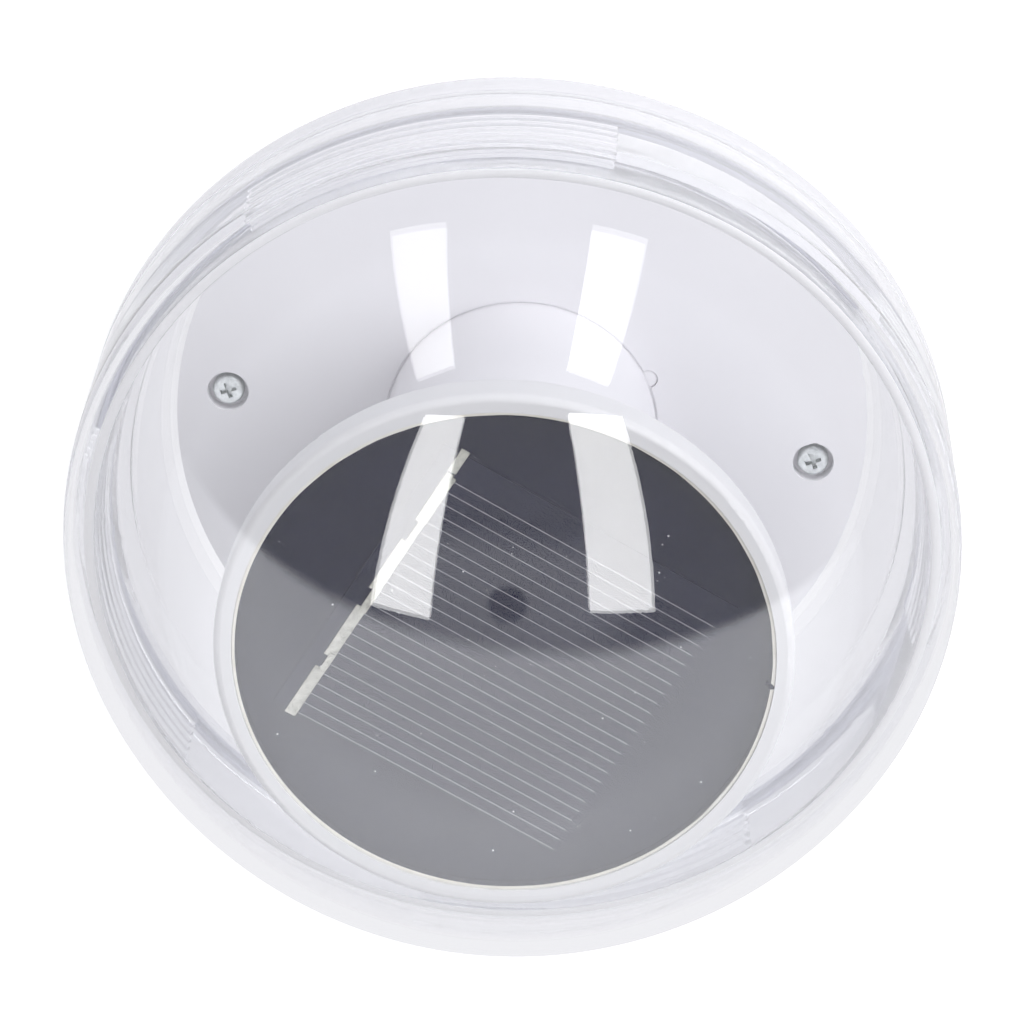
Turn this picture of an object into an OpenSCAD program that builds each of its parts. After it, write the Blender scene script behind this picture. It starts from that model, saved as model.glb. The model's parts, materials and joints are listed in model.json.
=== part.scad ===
// Floating solar pool light: a clear ball in two screwed halves, closed by a seal ring. Inside,
// a white plate carries a hollow white pedestal with a round solar panel on top, and the circuit
// board, the lamps and the battery hang under the plate.
// Millimetres, +Z up. The origin is the centre of the flat foot that the ball stands on.

/* [Ball] */
// Outer radius of the ball at its rim
rim_r = 55; // [54:0.5:60]
// Height of the rim's lower edge above the foot
rim_z = 46; // [45:0.5:47]
// Wall thickness of both clear shells
wall = 2; // [1.6:0.1:2.2]
// Height of the dome's centre of curvature above the rim's lower edge
cap_rise = 2.9; // [2:0.1:5]
// Thickness of the bowl's flange, which the dome closes down on
flange_t = 4.2; // [3:0.1:5]

/* [Screw joint] */
// Outer radius of the neck that the dome screws onto
neck_r = 51.4; // [51.2:0.1:51.8]
// Wall thickness of the neck
neck_wall = 1.2; // [1:0.1:1.6]
// Height of the neck above the rim's lower edge
neck_h = 22.8; // [20:0.2:26]
// Number of interrupted thread segments around the ball
segments = 4; // [3:1:5]
// Arc that each thread segment covers, in degrees
segment_arc = 49; // [30:1:55]
// Direction of the middle of the first thread segment, in degrees
segment_turn = 18; // [0:1:89]
// Number of ridges in each segment
ridges = 6; // [3:1:6]
// Distance from one ridge to the next
ridge_pitch = 1.8; // [1.6:0.1:2]
// Height of a ridge above its wall
ridge_h = 0.7; // [0.4:0.05:0.7]
// Radius of the seal ring's section
seal_section_r = 0.95; // [0.8:0.05:1]

/* [Plate and pedestal] */
// Depth of the plate's upper face below the rim's lower edge
plate_drop = 16.9; // [16:0.1:18]
// Thickness of the plate
plate_t = 2; // [1.6:0.1:2.4]
// Distance of the two plate screws from the ball's axis
plate_screw_at = 38.9; // [38:0.1:40]
// Outer radius of the hollow pedestal
stem_r = 17.7; // [17:0.1:19]
// Wall thickness of the pedestal
stem_wall = 2.2; // [1.6:0.1:3]
// Direction of the small key notch beside the pedestal, in degrees
notch_turn = 210; // [190:5:260]

/* [Solar panel] */
// Height of the panel's face above the rim's lower edge
panel_rise = 45; // [40:0.5:45.5]
// Radius of the round panel
panel_r = 30.95; // [30:0.05:31]
// Width of the white lip around the panel
lip_w = 2.1; // [1.6:0.1:2.3]
// Side of the square solar cell
cell_side = 39; // [36:0.5:41]
// Direction that the cell's fingers run in, in degrees
cell_turn = 155.5; // [0:0.5:359]
// Length of the solder ribbon across the cell
ribbon_l = 40.2; // [36:0.2:41]
// Width of the solder ribbon
ribbon_w = 1.4; // [1:0.1:2]
// Distance of the ribbon from the middle of the panel
ribbon_at = 17; // [15:0.5:18]

/* [Electronics] */
// Radius of the round circuit board
board_r = 34; // [33.5:0.1:34.5]
// Radius of the battery
battery_r = 7.1; // [6.9:0.05:7.2]
// Length of the battery without its button
battery_l = 48.3; // [47.5:0.1:48.5]
// Radius of a lamp's round lens
lamp_r = 2.5; // [2:0.1:2.6]
// Travel of the slide switch
switch_travel = 3; // [2:0.5:3]

/* [Hidden] */

// Curves: anything above 12 sides is a true circle
$fn = 96;
// Amount by which a cut runs past the face that it opens
past = 1;
// Depth by which one part of a solid enters the next, so that they join
join = 0.5;
touch = 0.01;

// Shells
bowl_r = rim_r - 4;
bowl_in = bowl_r - wall;
cap_r = rim_r * 1.0564;
cap_z = rim_z + cap_rise;
neck_top = rim_z + neck_h;
neck_in = neck_r - neck_wall;
flange_top = rim_z + flange_t;
edge_r = 0.6;
// Gap between the closed dome and the flange
seat_gap = 0.2;
skirt_z = flange_top + seat_gap;
skirt_in = rim_r - wall;
// The skirt's wider mouth, which passes over the collar and the seal ring
mouth_in = rim_r - 1.4;
collar_r = mouth_in - 0.4;
collar_top = flange_top + 3.2;
mouth_top = collar_top + 2.8;
seal_r = neck_r + seal_section_r + 0.1;
seal_z = collar_top + seal_section_r + 0.05;

// Thread ridges: a trapezium, narrower at its crest, rooted in the wall behind it
ridge_base = 1.1;
ridge_crest = 0.4;
ridge_root = 0.3;
// Depth by which the cut between two segments enters the wall
gap_cut = 0.04;
skirt_ridge_z = mouth_top + 0.8;
neck_ridge_z = skirt_ridge_z - ridge_pitch / 2;
// Clear space that the cut leaves over and under a stack of ridges
gap_end = 0.15;
segment_step = 360 / segments;

// Plate
plate_z = rim_z - plate_drop;
plate_under = plate_z - plate_t;
plate_gap = 0.35;
plate_top_r = sqrt(pow(bowl_in, 2) - pow(plate_drop, 2)) - plate_gap;
plate_low_r = sqrt(pow(bowl_in, 2) - pow(plate_drop + plate_t, 2)) - plate_gap;
stem_hole_r = stem_r + 0.3;
notch_r = 1.3;
boss_drop = 2;
post_r = 3.2;
post_top = plate_under - boss_drop;
post_hole_depth = 7.6;

// Screws: the plate's pair, the pedestal's three and the board's three
plate_head_r = 2.1;
plate_head_h = 1.5;
plate_head_well = 2.75;
plate_head_z = plate_under + 0.2;
plate_shank_r = 1.15;
small_shank_r = 0.9;
small_hole_r = 0.95;
small_head_r = 2;
small_head_h = 1.3;
small_skin = 0.8;
plate_screw_l = 9;
board_screw_l = 6;
pedestal_screw_l = 3;
plate_screw_turn = 25;

// Pedestal and panel holder
stem_in = stem_r - stem_wall;
stem_flange_r = 24;
stem_flange_t = 2;
stem_flange_z = plate_under - stem_flange_t;
stem_screw_at = 20.7;
stem_screw_turns = [0, 120, 240];
stem_screw_head_r = 2.6;
stem_screw_hole_r = 2.1;
stem_boss_r = 1.9;
stem_top = rim_z + 38;
holder_seat = rim_z + panel_rise - 3;
holder_under = holder_seat - 2;
lip_in = panel_r + 0.4;
lip_out = lip_in + lip_w;
lip_top = rim_z + panel_rise + 0.3;
lip_round = 0.9;
spigot_r = stem_in - 0.1;
spigot_wall = 2.2;
spigot_drop = 6;
lead_hole_r = 5;
cone_step = 6;

// Panel layers, from the holder's seat up
panel_board_t = 1.6;
cell_t = 0.2;
ribbon_t = 0.15;
panel_face = rim_z + panel_rise;
cell_z = holder_seat + panel_board_t;

// Circuit board
board_t = 1.6;
board_z = plate_under - 5.6;
board_top = board_z + board_t;
board_screw_at = 30;
board_screw_turns = [30, 150, 270];
board_boss_r = 2.6;
lamp_places = [[-14, 20], [0, 23], [14, 20], [-14, -20], [0, -23], [14, -20]];
lamp_flange_r = 2.9;
lamp_flange_t = 1;
lamp_l = 8.6;
lamp_leg_gap = 2.54;
solder_r = [0.8, 0.35];
solder_h = 0.7;

// Parts on the board: a controller chip, an inductor, a capacitor and a row of resistors
chip_at = [-21, -25];
chip_size = [5, 4, 1.5];
chip_lift = 0.15;
chip_leg = [0.4, 1, 0.6];
chip_leg_pitch = 1.27;
chip_leg_first = 0.6;
inductor_at = [21, -20];
inductor_r = 3.4;
inductor_h = 3.2;
inductor_core_r = 1.6;
inductor_plate_t = 0.6;
winding_r = 3;
winding_gap = 0.05;
capacitor_at = [-28, 3];
capacitor_r = 2.5;
capacitor_h = 3.5;
capacitor_base = [5.2, 5.2, 0.6];
resistor_at = [5, -28];
resistor_size = [2, 1.2, 0.5];
resistor_step = 3;
resistor_count = 4;

// Slide switch, at the back of the plate
switch_y = 30;
switch_l = 8.6;
switch_w = 3.8;
switch_h = 3.6;
switch_slot_w = 2.4;
switch_slot_depth = 1.2;
knob_w = 2;
knob_base_w = 2.1;
knob_base_h = 0.9;
knob_l = 2;
knob_out = 2.4;
knob_x = -switch_travel / 2;
plate_slot_l = switch_travel + knob_l + 0.8;
plate_slot_w = knob_w + 0.8;

// Battery and its holder, under the board
battery_z = board_z - 8.5;
battery_x = -battery_l / 2;
button_r = 2.7;
button_l = 1.2;
bay_floor_t = 1;
bay_half_l = 26.8;
bay_end_t = 1.5;
bay_side_in = battery_r + 0.5;
bay_side_t = 1;
bay_side_drop = 9.5;
bay_end_drop = 13;
bay_window_l = 16;
bay_window_h = 4;
contact_t = 0.3;
contact_w = 9;
spring_r = [3.4, 2.4];
spring_wire_r = 0.3;
spring_turns = 2.25;
spring_l = 1.9;
spring_steps = 36;
contact_gap = 0.02;

// Leads from the panel down through the pedestal to the board
lead_r = 0.6;
lead_sides = 8;
lead_steps = 4;
lead_route_red = [
  [3, 1, holder_seat], [3, 1, holder_seat - 6], [5, 2, 70], [7, -3, 55],
  [5, -8, 40], [6, -10, 30], [6, -10, board_top]
];
lead_route_black = [
  [-3, 1, holder_seat], [-3, 1, holder_seat - 6], [-6, 1, 70], [-4, -4, 55],
  [-7, -7, 40], [-6, -10, 30], [-6, -10, board_top]
];

// Points of a smooth curve through a route, a few steps for each stretch
function spline_point(a, b, c, d, t) =
  0.5 * (
    (2 * b)
    + (c - a) * t
    + (2 * a - 5 * b + 4 * c - d) * t * t
    + (3 * b - a - 3 * c + d) * t * t * t
  );
function route_point(r, i) = r[min(max(i, 0), len(r) - 1)];
function smooth_route(r, steps) = concat(
  [for (i = [0 : len(r) - 2]) for (s = [0 : steps - 1])
    spline_point(route_point(r, i - 1), r[i], r[i + 1], route_point(r, i + 2), s / steps)],
  [r[len(r) - 1]]
);
function unit(v) = v / norm(v);

// A tube of even section along a list of points; both end faces stand square to the given axis
module tube_along(points, radius, sides, side_axis, end_axis) {
  count = len(points);
  ring = function (i)
    let (
      along = (i == 0 || i == count - 1) ? end_axis : unit(points[i + 1] - points[i - 1]),
      u = unit(side_axis - along * (side_axis * along)),
      v = cross(along, u)
    )
    [for (k = [0 : sides - 1])
      points[i] + radius * (cos(360 * k / sides) * u + sin(360 * k / sides) * v)];
  rings = [for (i = [0 : count - 1]) each ring(i)];
  faces = concat(
    [[for (k = [0 : sides - 1]) k]],
    [for (i = [0 : count - 2]) for (k = [0 : sides - 1])
      let (a = i * sides + k, b = i * sides + (k + 1) % sides)
      each [[a, a + sides, b], [b, a + sides, b + sides]]],
    [[for (k = [sides - 1 : -1 : 0]) (count - 1) * sides + k]]
  );
  polyhedron(points = rings, faces = faces, convexity = 4);
}

// Half section of a band from radius a to b and height z0 to z1; its two outer corners are rounded
module rounded_band(a, b, z0, z1, low_round, high_round) {
  difference() {
    translate([a, z0]) square([b - a, z1 - z0]);
    if (low_round > 0) corner_cut(b, z0, low_round, 1);
    if (high_round > 0) corner_cut(b, z1, high_round, -1);
  }
}

// What rounding takes off an outer corner at [x, z]; up is 1 at a lower corner and -1 at an upper one
module corner_cut(x, z, r, up) {
  difference() {
    translate([x - r, up > 0 ? z - past : z - r]) square([r + past, r + past]);
    translate([x - r, z + up * r]) circle(r = r);
  }
}

// Half section of the dome's outline, filled in: an upright skirt that meets a round cap. inset is
// how far inside the outer skin it lies.
module dome_outline(inset) {
  intersection() {
    translate([0, cap_z]) circle(r = cap_r - inset);
    translate([0, skirt_z]) square([rim_r - inset, cap_r + cap_rise]);
  }
}

// Half section of a stack of thread ridges; direction is 1 for ridges that stand outward, -1 for inward
module ridge_stack(wall_r, first_z, count, direction) {
  root = wall_r - direction * ridge_root;
  crest = wall_r + direction * ridge_h;
  for (i = [0 : count - 1])
    translate([0, first_z + i * ridge_pitch])
      polygon([
        [root, -ridge_base / 2],
        [wall_r, -ridge_base / 2],
        [crest, -ridge_crest / 2],
        [crest, ridge_crest / 2],
        [wall_r, ridge_base / 2],
        [root, ridge_base / 2]
      ]);
}

// The bands that are cut out of a ridge stack, which leave its segments standing
module ridge_gaps(inner_r, outer_r, first_z, count) {
  for (k = [0 : segments - 1])
    rotate([0, 0, segment_turn + segment_arc / 2 + k * segment_step])
      rotate_extrude(angle = segment_step - segment_arc)
        translate([inner_r, first_z - ridge_base / 2 - gap_end])
          square([outer_r - inner_r, (count - 1) * ridge_pitch + ridge_base + 2 * gap_end]);
}

// A pan-head screw that points down from a seat at z = 0, with a cross recess in its head
module cross_screw(head_r, head_h, shank_r, length) {
  crown = 0.5;
  recess = head_r * 0.52;
  difference() {
    union() {
      rotate_extrude() rounded_band(0, head_r, 0, head_h, 0.15, crown);
      translate([0, 0, -length + shank_r])
        cylinder(r = shank_r, h = length - shank_r + 0.1);
      translate([0, 0, -length]) cylinder(r1 = shank_r * 0.3, r2 = shank_r, h = shank_r);
    }
    for (a = [0, 90])
      rotate([0, 0, a])
        translate([-recess, -recess * 0.26, head_h * 0.4])
          cube([recess * 2, recess * 0.52, head_h]);
  }
}

module bowl() {
  color([0.86, 0.9, 0.95, 0.35])
  difference() {
    union() {
      rotate_extrude() difference() {
        union() {
          intersection() {
            translate([0, rim_z]) circle(r = bowl_r);
            square([bowl_r, rim_z + 0.5]);
          }
          rounded_band(0, rim_r, rim_z, flange_top, edge_r, edge_r);
          translate([0, rim_z]) square([neck_r, neck_h]);
          translate([0, rim_z]) square([collar_r, collar_top - rim_z]);
          ridge_stack(neck_r, neck_ridge_z, ridges, 1);
        }
        intersection() {
          translate([0, rim_z]) circle(r = bowl_in);
          translate([0, wall]) square([bowl_r, rim_z - wall]);
        }
        translate([0, rim_z]) square([bowl_in, 1]);
        polygon([[0, rim_z + 1], [bowl_in, rim_z + 1], [neck_in, rim_z + 3], [0, rim_z + 3]]);
        translate([0, rim_z + 3]) square([neck_in, neck_h]);
      }
      intersection() {
        union() {
          for (k = [0 : 3])
            rotate([0, 0, 90 * k])
              translate([plate_screw_at, 0, 0])
                cylinder(r = post_r, h = post_top);
        }
        translate([0, 0, rim_z]) sphere(r = bowl_in + wall / 2);
      }
    }
    ridge_gaps(neck_r - gap_cut, neck_r + ridge_h + past, neck_ridge_z, ridges);
    for (k = [0, 1])
      rotate([0, 0, 180 * k])
        translate([plate_screw_at, 0, post_top - post_hole_depth])
          cylinder(r = plate_shank_r + 0.05, h = post_hole_depth + past);
  }
}

module dome() {
  color([0.88, 0.92, 0.97, 0.3])
  difference() {
    rotate_extrude() difference() {
      dome_outline(0);
      corner_cut(rim_r, skirt_z, edge_r, 1);
      difference() {
        union() {
          dome_outline(wall);
          translate([0, skirt_z - past]) square([mouth_in, mouth_top - skirt_z + past]);
        }
        ridge_stack(skirt_in, skirt_ridge_z, ridges - 1, -1);
      }
    }
    ridge_gaps(skirt_in - ridge_h - past, skirt_in + gap_cut, skirt_ridge_z, ridges - 1);
  }
}

module seal_ring() {
  color([0.75, 0.78, 0.82])
  rotate_extrude()
    translate([seal_r, seal_z]) circle(r = seal_section_r);
}

module mounting_plate() {
  color([0.93, 0.93, 0.96])
  difference() {
    union() {
      translate([0, 0, plate_under]) cylinder(r1 = plate_low_r, r2 = plate_top_r, h = plate_t);
      for (k = [0, 1])
        rotate([0, 0, 180 * k])
          translate([plate_screw_at, 0, post_top])
            cylinder(r = post_r + 0.6, h = boss_drop + join);
      for (a = stem_screw_turns)
        rotate([0, 0, a])
          translate([stem_screw_at, 0, stem_flange_z + 0.1])
            cylinder(r = stem_boss_r, h = stem_flange_t);
      for (a = board_screw_turns)
        rotate([0, 0, a])
          translate([board_screw_at, 0, board_top])
            cylinder(r = board_boss_r, h = plate_under - board_top + join);
    }
    translate([0, 0, plate_under - past]) cylinder(r = stem_hole_r, h = plate_t + 2 * past);
    rotate([0, 0, notch_turn])
      translate([stem_hole_r, 0, plate_under - past])
        cylinder(r = notch_r, h = plate_t + 2 * past);
    for (k = [0, 1])
      rotate([0, 0, 180 * k])
        translate([plate_screw_at, 0, 0]) {
          translate([0, 0, plate_head_z])
            cylinder(r = plate_head_well, h = plate_t + past);
          translate([0, 0, post_top - past])
            cylinder(r = plate_shank_r + 0.2, h = boss_drop + plate_t);
        }
    for (a = stem_screw_turns)
      rotate([0, 0, a])
        translate([stem_screw_at, 0, stem_flange_z - past])
          cylinder(r = small_hole_r, h = plate_z - small_skin - stem_flange_z + past);
    for (a = board_screw_turns)
      rotate([0, 0, a])
        translate([board_screw_at, 0, board_top - past])
          cylinder(r = small_hole_r, h = plate_z - small_skin - board_top + past);
    translate([-plate_slot_l / 2, switch_y - plate_slot_w / 2, plate_under - past])
      cube([plate_slot_l, plate_slot_w, plate_t + 2 * past]);
  }
}

module plate_screws() {
  color([0.72, 0.73, 0.75])
  for (k = [0, 1])
    rotate([0, 0, 180 * k])
      translate([plate_screw_at, 0, plate_head_z])
        rotate([0, 0, plate_screw_turn])
          cross_screw(plate_head_r, plate_head_h, plate_shank_r, plate_screw_l);
}

module pedestal() {
  color([0.95, 0.95, 0.97])
  difference() {
    rotate_extrude() {
      translate([stem_in, stem_flange_z]) square([stem_wall, stem_top - stem_flange_z]);
      translate([stem_in, stem_flange_z]) square([stem_flange_r - stem_in, stem_flange_t]);
    }
    for (a = stem_screw_turns)
      rotate([0, 0, a])
        translate([stem_screw_at, 0, stem_flange_z - past])
          cylinder(r = stem_screw_hole_r, h = stem_flange_t + 2 * past);
    for (a = board_screw_turns)
      rotate([0, 0, a])
        translate([board_screw_at, 0, stem_flange_z - past])
          cylinder(r = board_boss_r + 0.4, h = stem_flange_t + 2 * past);
  }
}

module pedestal_screws() {
  color([0.7, 0.71, 0.73])
  for (a = stem_screw_turns)
    rotate([0, 0, a])
      translate([stem_screw_at, 0, stem_flange_z])
        mirror([0, 0, 1])
          cross_screw(stem_screw_head_r, small_head_h, small_shank_r, pedestal_screw_l);
}

module panel_holder() {
  color([0.97, 0.97, 0.98])
  rotate_extrude() difference() {
    union() {
      rounded_band(0, lip_out, holder_under, lip_top, 1.2, lip_round);
      polygon([
        [0, stem_top],
        [stem_r, stem_top],
        [lip_out - cone_step, holder_under + touch],
        [0, holder_under + touch]
      ]);
      translate([0, stem_top - spigot_drop]) square([spigot_r, spigot_drop]);
    }
    translate([0, stem_top - spigot_drop - past])
      square([spigot_r - spigot_wall, spigot_drop + past]);
    translate([0, stem_top - past]) square([lead_hole_r, lip_top]);
    translate([0, holder_seat]) square([lip_in, lip_top]);
  }
}

module panel_board() {
  color([0.1, 0.1, 0.12])
  translate([0, 0, holder_seat]) cylinder(r = panel_r, h = panel_board_t);
}

// A block on the cell's own axes: its fingers run along x, and its ribbon along y
module on_cell(x, length_x, length_y, z, height) {
  rotate([0, 0, cell_turn])
    translate([x - length_x / 2, -length_y / 2, z])
      cube([length_x, length_y, height]);
}

module solar_cell() {
  color([0.08, 0.08, 0.13])
  on_cell(0, cell_side, cell_side, cell_z, cell_t);
}

module cell_ribbon() {
  color([0.85, 0.85, 0.82])
  on_cell(-ribbon_at, ribbon_w, ribbon_l, cell_z + cell_t, ribbon_t);
}

module panel_resin() {
  color([0.3, 0.3, 0.36, 0.5])
  difference() {
    rotate_extrude() rounded_band(0, panel_r, cell_z, panel_face, 0, 0.4);
    on_cell(0, cell_side, cell_side, cell_z - past, cell_t + past);
    on_cell(-ribbon_at, ribbon_w, ribbon_l, cell_z + cell_t - touch, ribbon_t + touch);
  }
}

module panel_sealant() {
  color([0.93, 0.9, 0.82])
  rotate_extrude()
    translate([panel_r + 0.02, holder_seat])
      square([lip_in - panel_r - 0.04, panel_face - holder_seat + 0.05]);
}

module panel_lead_red() {
  color([0.8, 0.1, 0.1])
  tube_along(smooth_route(lead_route_red, lead_steps), lead_r, lead_sides, [1, 0, 0], [0, 0, -1]);
}

module panel_lead_black() {
  color([0.1, 0.1, 0.1])
  tube_along(smooth_route(lead_route_black, lead_steps), lead_r, lead_sides, [1, 0, 0], [0, 0, -1]);
}

module circuit_board() {
  color([0.9, 0.92, 0.9])
  difference() {
    translate([0, 0, board_z]) cylinder(r = board_r, h = board_t);
    for (a = board_screw_turns)
      rotate([0, 0, a])
        translate([board_screw_at, 0, board_z - past])
          cylinder(r = small_shank_r + 0.2, h = board_t + 2 * past);
  }
}

module board_screws() {
  color([0.7, 0.71, 0.73])
  for (a = board_screw_turns)
    rotate([0, 0, a])
      translate([board_screw_at, 0, board_z])
        mirror([0, 0, 1])
          cross_screw(small_head_r, small_head_h, small_shank_r, board_screw_l);
}

module lamp_lenses() {
  color([0.92, 0.95, 1])
  for (p = lamp_places)
    translate([p[0], p[1], board_z])
      mirror([0, 0, 1])
        rotate_extrude() {
          square([lamp_flange_r, lamp_flange_t]);
          square([lamp_r, lamp_l - lamp_r]);
          intersection() {
            translate([0, lamp_l - lamp_r]) circle(r = lamp_r);
            translate([0, lamp_l - lamp_r]) square([lamp_r, lamp_r]);
          }
        }
}

module solder_joints() {
  color([0.75, 0.76, 0.78])
  for (p = lamp_places)
    for (side = [-1, 1])
      translate([p[0] + side * lamp_leg_gap / 2, p[1], board_top])
        cylinder(r1 = solder_r[0], r2 = solder_r[1], h = solder_h);
}

module controller_chip() {
  color([0.12, 0.12, 0.13])
  translate([chip_at[0], chip_at[1], board_top + chip_lift]) cube(chip_size);
}

module chip_legs() {
  color([0.78, 0.78, 0.8])
  for (i = [0 : 3])
    for (y = [chip_at[1] - chip_leg[1], chip_at[1] + chip_size[1]])
      translate([chip_at[0] + chip_leg_first + chip_leg_pitch * i, y, board_top])
        cube(chip_leg);
}

module inductor_core() {
  color([0.25, 0.25, 0.27])
  translate([inductor_at[0], inductor_at[1], board_top]) {
    cylinder(r = inductor_r, h = inductor_plate_t);
    cylinder(r = inductor_core_r, h = inductor_h);
    translate([0, 0, inductor_h - inductor_plate_t])
      cylinder(r = inductor_r, h = inductor_plate_t);
  }
}

module inductor_winding() {
  winding_h = inductor_h - 2 * inductor_plate_t - 2 * winding_gap;
  color([0.72, 0.42, 0.2])
  translate([inductor_at[0], inductor_at[1], board_top + inductor_plate_t + winding_gap])
    difference() {
      cylinder(r = winding_r, h = winding_h);
      translate([0, 0, -past])
        cylinder(r = inductor_core_r + winding_gap, h = winding_h + 2 * past);
    }
}

module capacitor() {
  color([0.7, 0.72, 0.75])
  translate([capacitor_at[0], capacitor_at[1], board_top]) {
    translate([-capacitor_base[0] / 2, -capacitor_base[1] / 2, 0]) cube(capacitor_base);
    rotate_extrude() rounded_band(0, capacitor_r, join, capacitor_h, 0, 0.4);
  }
}

module resistors() {
  color([0.15, 0.15, 0.16])
  for (i = [0 : resistor_count - 1])
    translate([resistor_at[0] + resistor_step * i, resistor_at[1], board_top])
      cube(resistor_size);
}

module switch_body() {
  color([0.75, 0.76, 0.78])
  translate([0, switch_y, board_top])
    difference() {
      translate([-switch_l / 2, -switch_w / 2, 0]) cube([switch_l, switch_w, switch_h]);
      translate([-plate_slot_l / 2, -switch_slot_w / 2, switch_h - switch_slot_depth])
        cube([plate_slot_l, switch_slot_w, switch_slot_depth + past]);
    }
}

module switch_knob() {
  knob_z = board_top + switch_h - switch_slot_depth + 0.1;
  color([0.1, 0.1, 0.11])
  translate([knob_x, switch_y, knob_z]) {
    translate([-knob_l / 2, -knob_base_w / 2, 0])
      cube([knob_l, knob_base_w, knob_base_h]);
    translate([-knob_l / 2, -knob_w / 2, 0])
      cube([knob_l, knob_w, plate_z + knob_out - knob_z]);
  }
}

module battery_holder() {
  bay_half = bay_half_l + bay_end_t;
  bay_y = bay_side_in + bay_side_t / 2;
  color([0.12, 0.12, 0.13])
  difference() {
    union() {
      translate([-bay_half, -bay_y - bay_side_t / 2, board_z - bay_floor_t])
        cube([2 * bay_half, 2 * bay_y + bay_side_t, bay_floor_t]);
      for (side = [-1, 1])
        translate([-bay_half, side * bay_y - bay_side_t / 2, board_z - bay_side_drop])
          cube([2 * bay_half, bay_side_t, bay_side_drop]);
      for (x = [-bay_half, bay_half_l])
        translate([x, -bay_side_in, board_z - bay_end_drop])
          cube([bay_end_t, 2 * bay_side_in, bay_end_drop]);
    }
    for (side = [-1, 1])
      translate([-bay_window_l / 2, side * bay_y - bay_side_t, board_z - bay_side_drop - past])
        cube([bay_window_l, 2 * bay_side_t, bay_window_h + past]);
  }
}

// Point on the spring's narrowing coil, where t goes from 0 at the leaf to 1 at the battery
function spring_point(t) =
  let (
    r = spring_r[0] + (spring_r[1] - spring_r[0]) * t,
    a = 360 * spring_turns * t
  )
  [r * cos(a), r * sin(a), contact_t + 0.2 + spring_l * t];

module battery_spring() {
  color([0.8, 0.8, 0.82])
  translate([-bay_half_l, 0, battery_z])
    rotate([0, 90, 0]) {
      translate([-contact_w / 2, -contact_w / 2, contact_gap])
        cube([contact_w, contact_w, contact_t]);
      tube_along(
        [for (i = [0 : spring_steps]) spring_point(i / spring_steps)],
        spring_wire_r, 6, [0, 0, 1], [0, 1, 0]);
    }
}

module battery_contact() {
  color([0.8, 0.8, 0.82])
  translate([bay_half_l - contact_t - contact_gap, -contact_w / 2, battery_z - contact_w / 2])
    cube([contact_t, contact_w, contact_w]);
}

module battery() {
  color([0.2, 0.55, 0.3])
  translate([battery_x, 0, battery_z])
    rotate([0, 90, 0]) {
      rotate_extrude() rounded_band(0, battery_r, 0, battery_l, 0.6, 0.6);
      cylinder(r = button_r, h = battery_l + button_l);
    }
}

bowl();
dome();
seal_ring();
mounting_plate();
plate_screws();
pedestal();
pedestal_screws();
panel_holder();
panel_board();
solar_cell();
cell_ribbon();
panel_resin();
panel_sealant();
panel_lead_red();
panel_lead_black();
circuit_board();
board_screws();
lamp_lenses();
solder_joints();
controller_chip();
chip_legs();
inductor_core();
inductor_winding();
capacitor();
resistors();
switch_body();
switch_knob();
battery_holder();
battery_spring();
battery_contact();
battery();
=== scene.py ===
import json
import math
import random

import bmesh
import bpy
from mathutils import Matrix, Vector


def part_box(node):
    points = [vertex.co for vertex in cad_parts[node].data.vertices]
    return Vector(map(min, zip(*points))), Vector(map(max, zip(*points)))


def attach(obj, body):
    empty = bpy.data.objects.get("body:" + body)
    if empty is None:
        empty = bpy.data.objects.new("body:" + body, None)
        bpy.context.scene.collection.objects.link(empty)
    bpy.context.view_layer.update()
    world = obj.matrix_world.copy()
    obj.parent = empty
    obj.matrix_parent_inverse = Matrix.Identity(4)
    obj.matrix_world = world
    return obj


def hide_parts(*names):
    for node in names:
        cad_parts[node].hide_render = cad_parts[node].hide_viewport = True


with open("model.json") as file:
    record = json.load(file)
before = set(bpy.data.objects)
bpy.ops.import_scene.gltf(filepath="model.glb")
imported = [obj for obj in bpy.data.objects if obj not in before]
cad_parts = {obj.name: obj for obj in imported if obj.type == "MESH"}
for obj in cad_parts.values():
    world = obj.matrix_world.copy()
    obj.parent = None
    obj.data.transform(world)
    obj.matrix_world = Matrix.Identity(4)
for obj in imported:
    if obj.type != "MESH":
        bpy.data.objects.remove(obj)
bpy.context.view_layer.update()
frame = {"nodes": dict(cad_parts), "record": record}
nodes = frame["nodes"]
MM = 0.001
rng = random.Random(7)

# ---------------------------------------------------------------- sizes from the CAD, in mm
rim_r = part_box("dome")[1].x / MM
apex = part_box("dome")[1].z / MM
skirt_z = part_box("dome")[0].z / MM
neck_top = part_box("bowl")[1].z / MM
plate_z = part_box("mounting_plate")[1].z / MM
board_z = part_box("circuit_board")[0].z / MM
board_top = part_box("circuit_board")[1].z / MM
cell_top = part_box("solar_cell")[1].z / MM
panel_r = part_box("panel_board")[1].x / MM
panel_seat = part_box("panel_board")[0].z / MM
face_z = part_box("panel_resin")[1].z / MM
seal_low, seal_high = [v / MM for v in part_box("seal_ring")]

# ---------------------------------------------------------------- the CAD's shapes, in mm
wall = 2.0
rim_z = 46.0                # centre of the bowl's round wall, and foot of the flange
bowl_r = 51.0
bowl_in_r = bowl_r - wall
flange_top = 50.2
neck_r = 51.4
neck_in_r = 50.2
neck_foot = 53.4
blend_top = 60.0            # where the neck's inside starts to run into the bowl's
skirt_in_r = 53.6
dome_in_r = 53.0
cap_r = 58.102
cap_z = apex - cap_r
fillet_r = 14.0             # between the cap and the rim
edge_r = 0.6                # rounded edges of the skirt and the flange
ridge_pitch = 1.8
ridge_h = 0.7
dome_ridges = [57.0 + ridge_pitch * i for i in range(5)]
bowl_ridges = [56.1 + ridge_pitch * i for i in range(6)]
thread_first = math.radians(18)
thread_half = math.radians(49 / 2)
post_at = 38.9
post_r = 3.2
post_top = 25.08
post_bore_r = 1.2
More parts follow.
